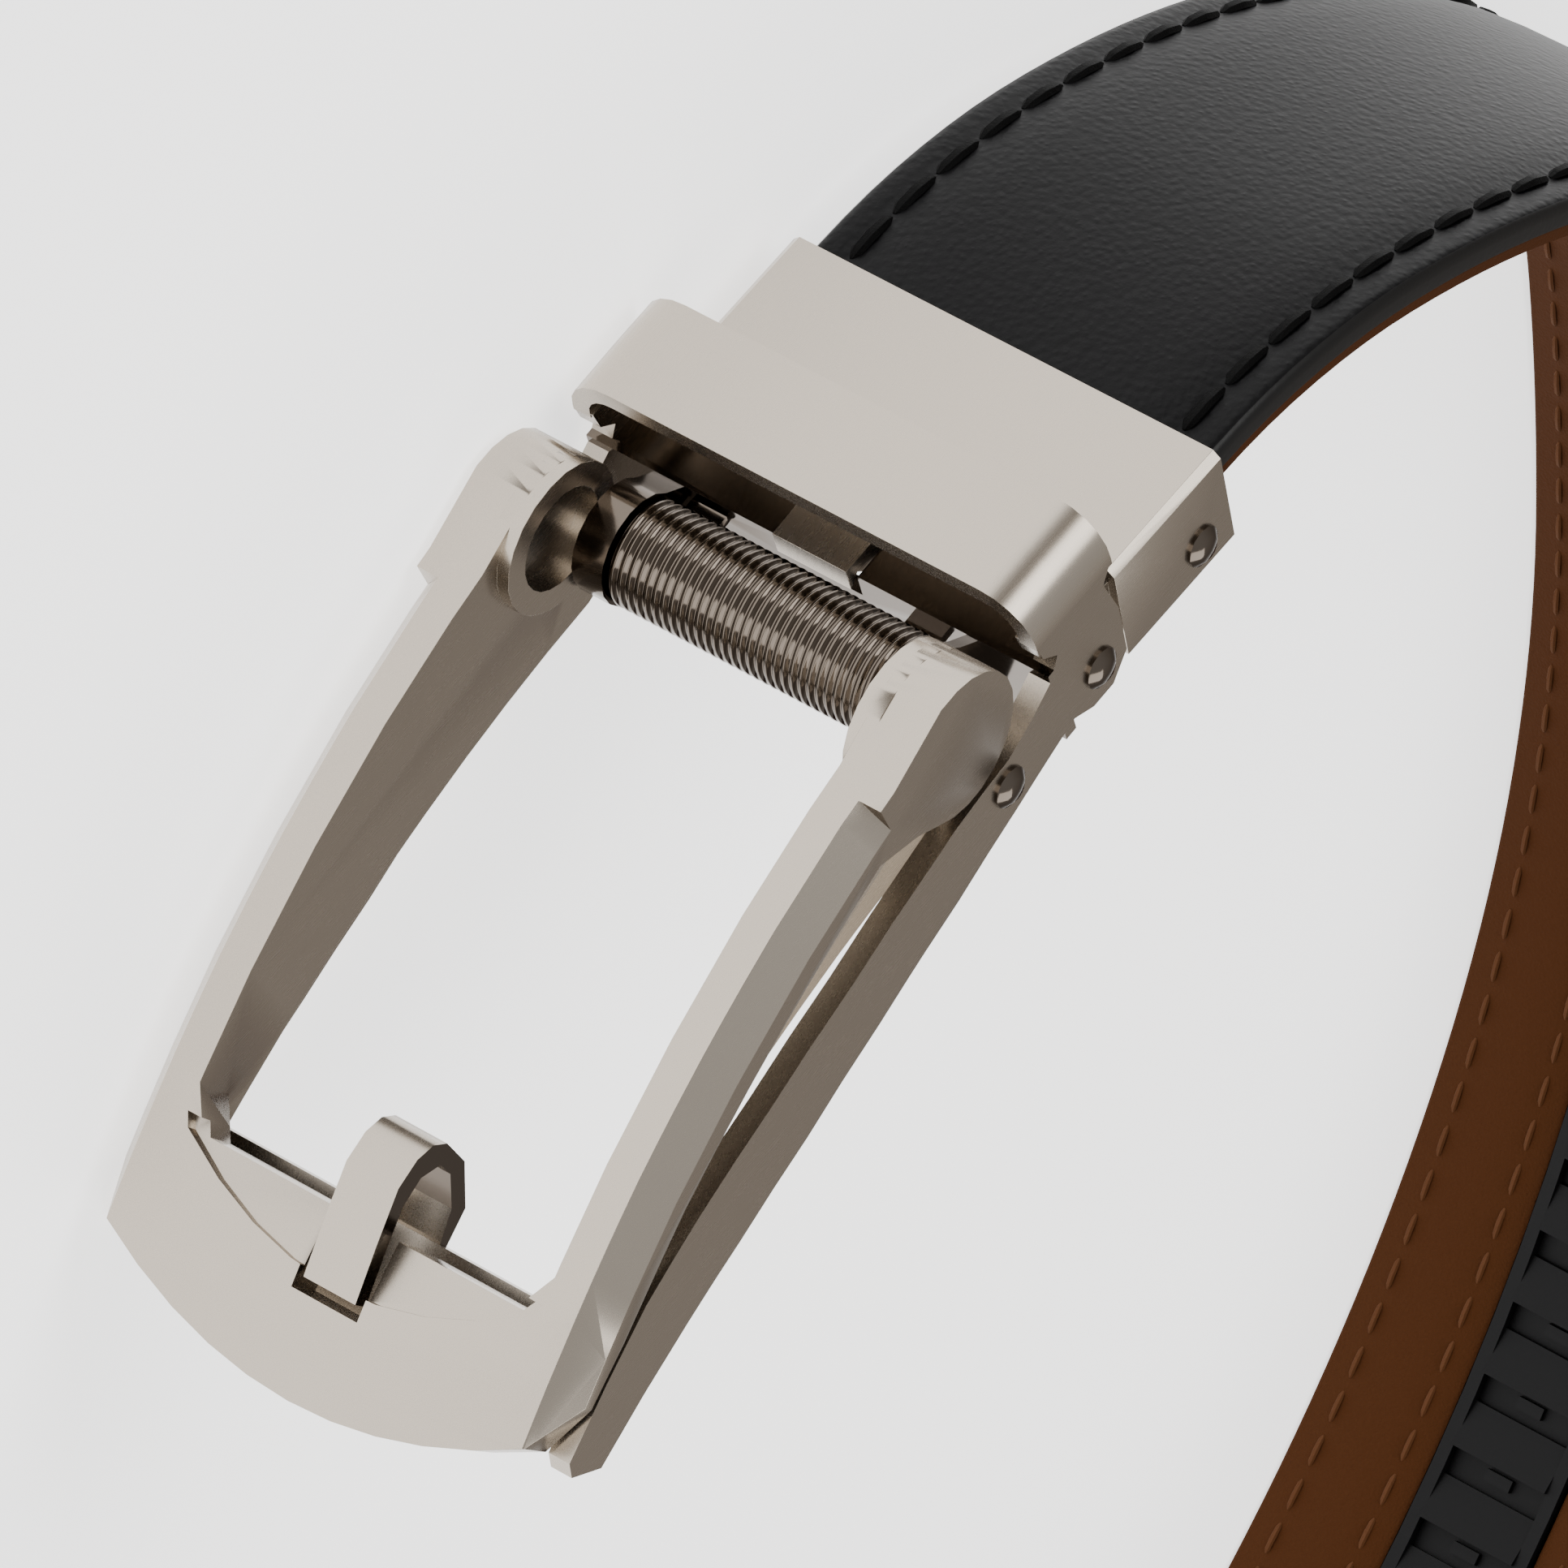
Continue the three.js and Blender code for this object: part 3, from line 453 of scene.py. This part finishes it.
class BELT_OT_lining(BeltOperator, Operator):
    """Brown lining with the gap that the track lies in"""

    bl_idname = "belt.lining"
    bl_label = "Strap Lining"

    def execute(self, context):
        strap = Strap()
        made = []
        slot_start = TRACK_START - LINING_GAP
        slot_end = STRAP_LENGTH - TRACK_TAIL + LINING_GAP
        rows = (
            {"name": "start", "from": 0.0, "to": slot_start, "side": 0},
            {"name": "upper_band", "from": slot_start, "to": slot_end, "side": 1},
            {"name": "lower_band", "from": slot_start, "to": slot_end, "side": -1},
            {"name": "end", "from": slot_end, "to": STRAP_LENGTH, "side": 0},
        )
        inner = TRACK_WIDTH / 2 + LINING_GAP
        round_start = LINING_FAR - 0.15
        for row in rows:
            rings = []
            for d in spaced(row["from"], row["to"], STRIP_STEP):
                half = half_width(d) - LINING_GAP
                a, b = -half, half
                if row["side"]:
                    a, b = sorted((row["side"] * inner, row["side"] * half))
                section = (
                    (FACE_THICK, a), (round_start, a), (LINING_FAR, a + LINING_ROUND),
                    (LINING_FAR, b - LINING_ROUND), (round_start, b), (FACE_THICK, b),
                )
                rings.append([strap.point(d, depth, up) for depth, up in section])
            points, faces = loft(rings)
            name = "lining_" + row["name"]
            made.append(add_object(name, points, faces, "strap", materials["lining"]))
        bpy.ops.object.select_all(action="DESELECT")
        for obj in made:
            obj.select_set(True)
        bpy.context.view_layer.objects.active = made[0]
        bpy.ops.object.join()
        made[0].name = "lining_skin"
        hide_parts("strap_lining")
        return self.finished(made)


class BELT_OT_track(BeltOperator, Operator):
    """Moulded track with a ramped tooth and side ribs at each pitch"""

    bl_idname = "belt.track"
    bl_label = "Track"

    def execute(self, context):
        strap = Strap()
        half = TRACK_WIDTH / 2
        base = LINING_NEAR + TOOTH_BASE
        rail = half - RAIL_WIDTH
        top = LINING_FAR + TOOTH_BASE
        points, faces = [], []

        def slab(d0, d1, u0, u1, z0, z1, lean=0.0):
            start = len(points)
            for d, far in ((d0, z1), (d1, z1 + lean)):
                for depth, up in ((z0, u0), (far, u0), (far, u1), (z0, u1)):
                    points.append(strap.point(d, depth, up))
            for face in BOX_FACES:
                faces.append(tuple(start + i for i in face))

        end = STRAP_LENGTH - TRACK_TAIL
        count = int((end - TRACK_START) / TOOTH_PITCH)
        for i in range(count):
            d = TRACK_START + i * TOOTH_PITCH
            after = d + TOOTH_PITCH
            slab(d, after, -half, half, FACE_THICK, base)
            slab(d, after, -half, -rail, base, top)
            slab(d, after, rail, half, base, top)
            slab(d + 0.5, d + 4.4, -rail, rail, base, base + TOOTH_HEIGHT, TOOTH_LEAN)
            slab(d + 4.9, d + 5.9, -NUB_HALF, NUB_HALF, base, base + TOOTH_HEIGHT)
        obj = add_object("track_skin", points, faces, "strap", materials["track"])
        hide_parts("track")
        return self.finished([obj])


class BELT_OT_stitches(BeltOperator, Operator):
    """Stitch rows on the face and on both lining bands"""

    bl_idname = "belt.stitches"
    bl_label = "Stitches"

    def stitch_row(self, strap, row, points, faces):
        """One row of raised stitches, each a tapered bar following the strap."""
        d = row["from"]
        sides = 6
        while d + row["length"] < row["to"]:
            start = len(points)
            for cut in STITCH_SHAPE:
                for k in range(sides):
                    angle = 2 * math.pi * k / sides
                    up = row["up"] + row["radius"] * cut["wide"] * math.cos(angle)
                    lift = 0.8 * cut["wide"] * math.sin(angle) + 0.5 * cut["rise"]
                    depth = row["depth"] + row["out"] * row["radius"] * lift
                    points.append(strap.point(d + row["length"] * cut["share"], depth, up))
            for i in range(len(STITCH_SHAPE) - 1):
                for k in range(sides):
                    a, b = start + i * sides + k, start + i * sides + (k + 1) % sides
                    faces.append((a, b, b + sides, a + sides))
            faces.append(tuple(start + k for k in reversed(range(sides))))
            last = start + (len(STITCH_SHAPE) - 1) * sides
            faces.append(tuple(last + k for k in range(sides)))
            d += row["pitch"]

    def execute(self, context):
        strap, own = Strap(), self.settings
        edge = STRAP_WIDTH / 2
        front_up = edge - own.channel - 0.1
        front = {"pitch": own.front_pitch, "length": own.front_pitch * 0.93, "depth": 0.2,
                 "out": -1, "radius": 0.55, "from": 2.0, "to": STRAP_LENGTH - 9}
        back = {"pitch": own.back_pitch, "length": own.back_pitch * 0.7, "depth": LINING_FAR,
                "out": 1, "radius": 0.26, "from": 2.0, "to": STRAP_LENGTH - 12}
        made = []
        rows = (
            {"name": "front_stitches", "base": front, "ups": (front_up, -front_up),
             "finish": "black_thread", "slot": "black_leather"},
            {"name": "back_stitches", "base": back, "ups": (edge - 2.6, 8.0, -8.0, 2.6 - edge),
             "finish": "brown_thread", "slot": "brown_lining"},
        )
        for row in rows:
            points, faces = [], []
            for up in row["ups"]:
                self.stitch_row(strap, {**row["base"], "up": up}, points, faces)
            obj = add_object(row["name"], points, faces, "strap", materials[row["finish"]])
            made.append(obj)
        return self.finished(made)


class BELT_OT_metal(BeltOperator, Operator):
    """Metal pieces taken from the CAD, with rounded edges and their finishes"""

    bl_idname = "belt.metal"
    bl_label = "Metal Pieces"

    def polish_and_shade_inner_faces(self, obj, node):
        """Polished finish on the body's inner parts: floor, ears and end bar, its darker base
        colour painting shade into these recesses.
        """
        obj.data.materials.append(materials["polished"])
        low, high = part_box(node)
        rim, crown = RIM * MM, KEEPER_DEPTH * MM
        near, far = low.x + INNER_NEAR * MM, high.x - INNER_FAR * MM
        # Inner faces, also those hidden behind the keeper, take the darker polished material as
        # painted shade
        for face in obj.data.polygons:
            place = face.center
            inside = low.z + rim < place.z < high.z - rim
            hidden = place.x < near and place.y > low.y + crown
            if inside and (hidden or (place.x > far and face.normal.y > -0.2)):
                face.material_index = 1

    def execute(self, context):
        rows = (
            {"node": "clamp", "finish": "satin", "bevel": 1.0},
            {"node": "clamp_jaw", "finish": "satin", "bevel": 0.5},
            {"node": "buckle_body", "finish": "satin", "bevel": 1.0},
            {"node": "front_frame", "finish": "satin", "bevel": 1.0},
            {"node": "pawl", "finish": "satin", "bevel": 0.5},
            # Pins and rivets take the polished nickel, whose darker base colour is painted shade
            {"node": "jaw_pin", "finish": "polished", "bevel": 0.0},
            {"node": "swing_pin", "finish": "polished", "bevel": 0.0},
            {"node": "rivet_low", "finish": "polished", "bevel": 0.0},
            {"node": "rivet_high", "finish": "polished", "bevel": 0.0},
        )
        made = []
        for row in rows:
            source = frame["nodes"][row["node"]]
            obj = source.copy()
            obj.data = source.data.copy()
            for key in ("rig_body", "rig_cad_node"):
                if key in obj:
                    del obj[key]
            obj.name = row["node"] + "_skin"
            obj.parent = None
            bpy.context.scene.collection.objects.link(obj)
            bpy.ops.object.select_all(action="DESELECT")
            obj.select_set(True)
            bpy.context.view_layer.objects.active = obj
            bpy.ops.object.mode_set(mode="EDIT")
            bpy.ops.mesh.select_all(action="SELECT")
            bpy.ops.mesh.remove_doubles(threshold=0.002 * MM)
            bpy.ops.mesh.dissolve_limited(angle_limit=math.radians(0.5))
            bpy.ops.object.mode_set(mode="OBJECT")
            obj.data.materials.clear()
            obj.data.materials.append(materials[row["finish"]])
            if row["node"] == "buckle_body":
                self.polish_and_shade_inner_faces(obj, row["node"])
            if row["bevel"]:
                bevel = obj.modifiers.new("rounded_edges", "BEVEL")
                bevel.width = self.settings.bevel * row["bevel"] * MM
                bevel.segments = 2
                bevel.limit_method = "ANGLE"
                bevel.angle_limit = math.radians(35)
                bevel.use_clamp_overlap = True
            bpy.ops.object.shade_smooth_by_angle(angle=math.radians(35))
            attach(obj, frame_body(row["node"]))
            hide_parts(row["node"])
            made.append(obj)
        return self.finished(made)


def frame_body(node):
    """The CAD body that a node belongs to."""
    for body, members in frame["record"]["behaviour"]["bodies"].items():
        if node in members:
            return body
    raise RuntimeError(f"no body holds {node}")


class BELT_OT_ribbed_bar(BeltOperator, Operator):
    """Ribbed bar with close rings"""

    bl_idname = "belt.ribbed_bar"
    bl_label = "Ribbed Bar"

    def execute(self, context):
        low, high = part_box("ribbed_bar")
        centre = (low + high) / 2
        radius = (high.x - low.x) / 2
        centre.z += RIB_SHIFT * MM
        length = RIB_LENGTH * MM
        count = self.settings.rib_count
        pitch = length / count
        rows = [(-length / 2, radius * 0.3), (-length / 2, radius * RIB_FOOT)]
        for i in range(count):
            base = -length / 2 + i * pitch
            for share, out in RIB_SHAPE:
                rows.append((base + share * pitch, radius * out))
        rows += [(length / 2, radius * RIB_FOOT), (length / 2, radius * 0.3)]
        sides = 64
        rings = []
        for z, r in rows:
            ring = []
            for k in range(sides):
                angle = 2 * math.pi * k / sides
                ring.append(centre + Vector((r * math.cos(angle), r * math.sin(angle), z)))
            rings.append(ring)
        points, faces = loft(rings)
        # The bar takes the polished nickel, whose darker base colour is painted shade
        obj = add_object("ribbed_bar_skin", points, faces, "buckle", materials["polished"], 60)
        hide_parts("ribbed_bar")
        return self.finished([obj])


class BELT_OT_stage(BeltOperator, Operator):
    """Pale floor, soft lights and the camera at the photo's angle"""

    bl_idname = "belt.stage"
    bl_label = "Stage"

    def execute(self, context):
        scene = context.scene
        world = bpy.data.worlds.new("studio")
        world.use_nodes = True
        back = world.node_tree.nodes["Background"]
        tree = world.node_tree
        coords = tree.nodes.new("ShaderNodeTexCoord")
        split = tree.nodes.new("ShaderNodeSeparateXYZ")
        ramp = tree.nodes.new("ShaderNodeValToRGB")
        tree.links.new(coords.outputs["Generated"], split.inputs["Vector"])
        tree.links.new(split.outputs["Z"], ramp.inputs["Fac"])
        tree.links.new(ramp.outputs["Color"], back.inputs["Color"])
        stops = ramp.color_ramp.elements
        for row in SKY[1:-1]:
            stops.new(row["height"])
        for stop, row in zip(stops, SKY):
            stop.color = linear(row["colour"])
        back.inputs["Strength"].default_value = 0.75
        scene.world = world
        bpy.ops.object.select_all(action="DESELECT")
        bpy.ops.mesh.primitive_plane_add(size=12, location=(0, 0, 0))
        floor = bpy.context.active_object
        floor.name = "floor"
        pale = make_plain("pale_floor", "#FBFBFB", 0.8)
        glow = pale.node_tree.nodes["Principled BSDF"]
        glow.inputs["Emission Color"].default_value = linear("#FFFFFF")
        glow.inputs["Emission Strength"].default_value = 1.6
        floor.data.materials.append(pale)
        low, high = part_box("buckle_body")
        target = (low + high) / 2
        rows = (
            {"name": "key", "from": (-0.5, -0.9, 1.1), "size": 0.9, "watts": 13},
            {"name": "fill", "from": (1.1, -0.5, 0.7), "size": 0.8, "watts": 7},
            {"name": "rim", "from": (0.1, 0.9, 1.2), "size": 0.8, "watts": 7},
        )
        for row in rows:
            light = bpy.data.lights.new(row["name"], "AREA")
            light.shape = "SQUARE"
            light.size = row["size"]
            light.energy = row["watts"]
            lamp = bpy.data.objects.new(row["name"], light)
            lamp.location = target + Vector(row["from"])
            lamp.rotation_mode = "QUATERNION"
            lamp.rotation_quaternion = (-Vector(row["from"])).to_track_quat("-Z", "Y")
            scene.collection.objects.link(lamp)
        camera = bpy.data.objects.new("camera", bpy.data.cameras.new("camera"))
        scene.collection.objects.link(camera)
        clamp_low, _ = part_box("clamp")
        corner = Vector((clamp_low.x, clamp_low.y, clamp_low.z))
        right, down, forward = Vector(CAMERA_RIGHT), Vector(CAMERA_DOWN), Vector(CAMERA_FORWARD)
        turn = Matrix((right, -down, -forward)).transposed().to_4x4()
        place = corner + Vector(CAMERA_PLACE) * MM
        camera.matrix_world = Matrix.Translation(place) @ turn
        camera.data.sensor_width = SENSOR
        camera.data.lens = SENSOR * FOCAL_PX / PHOTO_PX
        camera.data.clip_start = 0.05
        scene.camera = camera
        return self.finished([camera])


class BELT_PT_panel(Panel):
    """The belt's sizes and steps"""

    bl_label = "Belt"
    bl_idname = "BELT_PT_panel"
    bl_space_type = "VIEW_3D"
    bl_region_type = "UI"
    bl_category = "Belt"

    def draw(self, context):
        for name in BeltSettings.__annotations__:
            self.layout.prop(context.scene.belt_settings, name)
        for step in STEPS:
            self.layout.operator(step.bl_idname)


STEPS = (
    BELT_OT_strap_face,
    BELT_OT_lining,
    BELT_OT_track,
    BELT_OT_stitches,
    BELT_OT_metal,
    BELT_OT_ribbed_bar,
    BELT_OT_stage,
)
CLASSES = (BeltSettings, *STEPS, BELT_PT_panel)


def register():
    for cls in CLASSES:
        bpy.utils.register_class(cls)
    bpy.types.Scene.belt_settings = PointerProperty(type=BeltSettings)


def unregister():
    del bpy.types.Scene.belt_settings
    for cls in reversed(CLASSES):
        bpy.utils.unregister_class(cls)


def main():
    register()
    materials.update(make_materials())
    for step in STEPS:
        group, name = step.bl_idname.split(".")
        getattr(getattr(bpy.ops, group), name)()


if __name__ == "__main__":
    main()
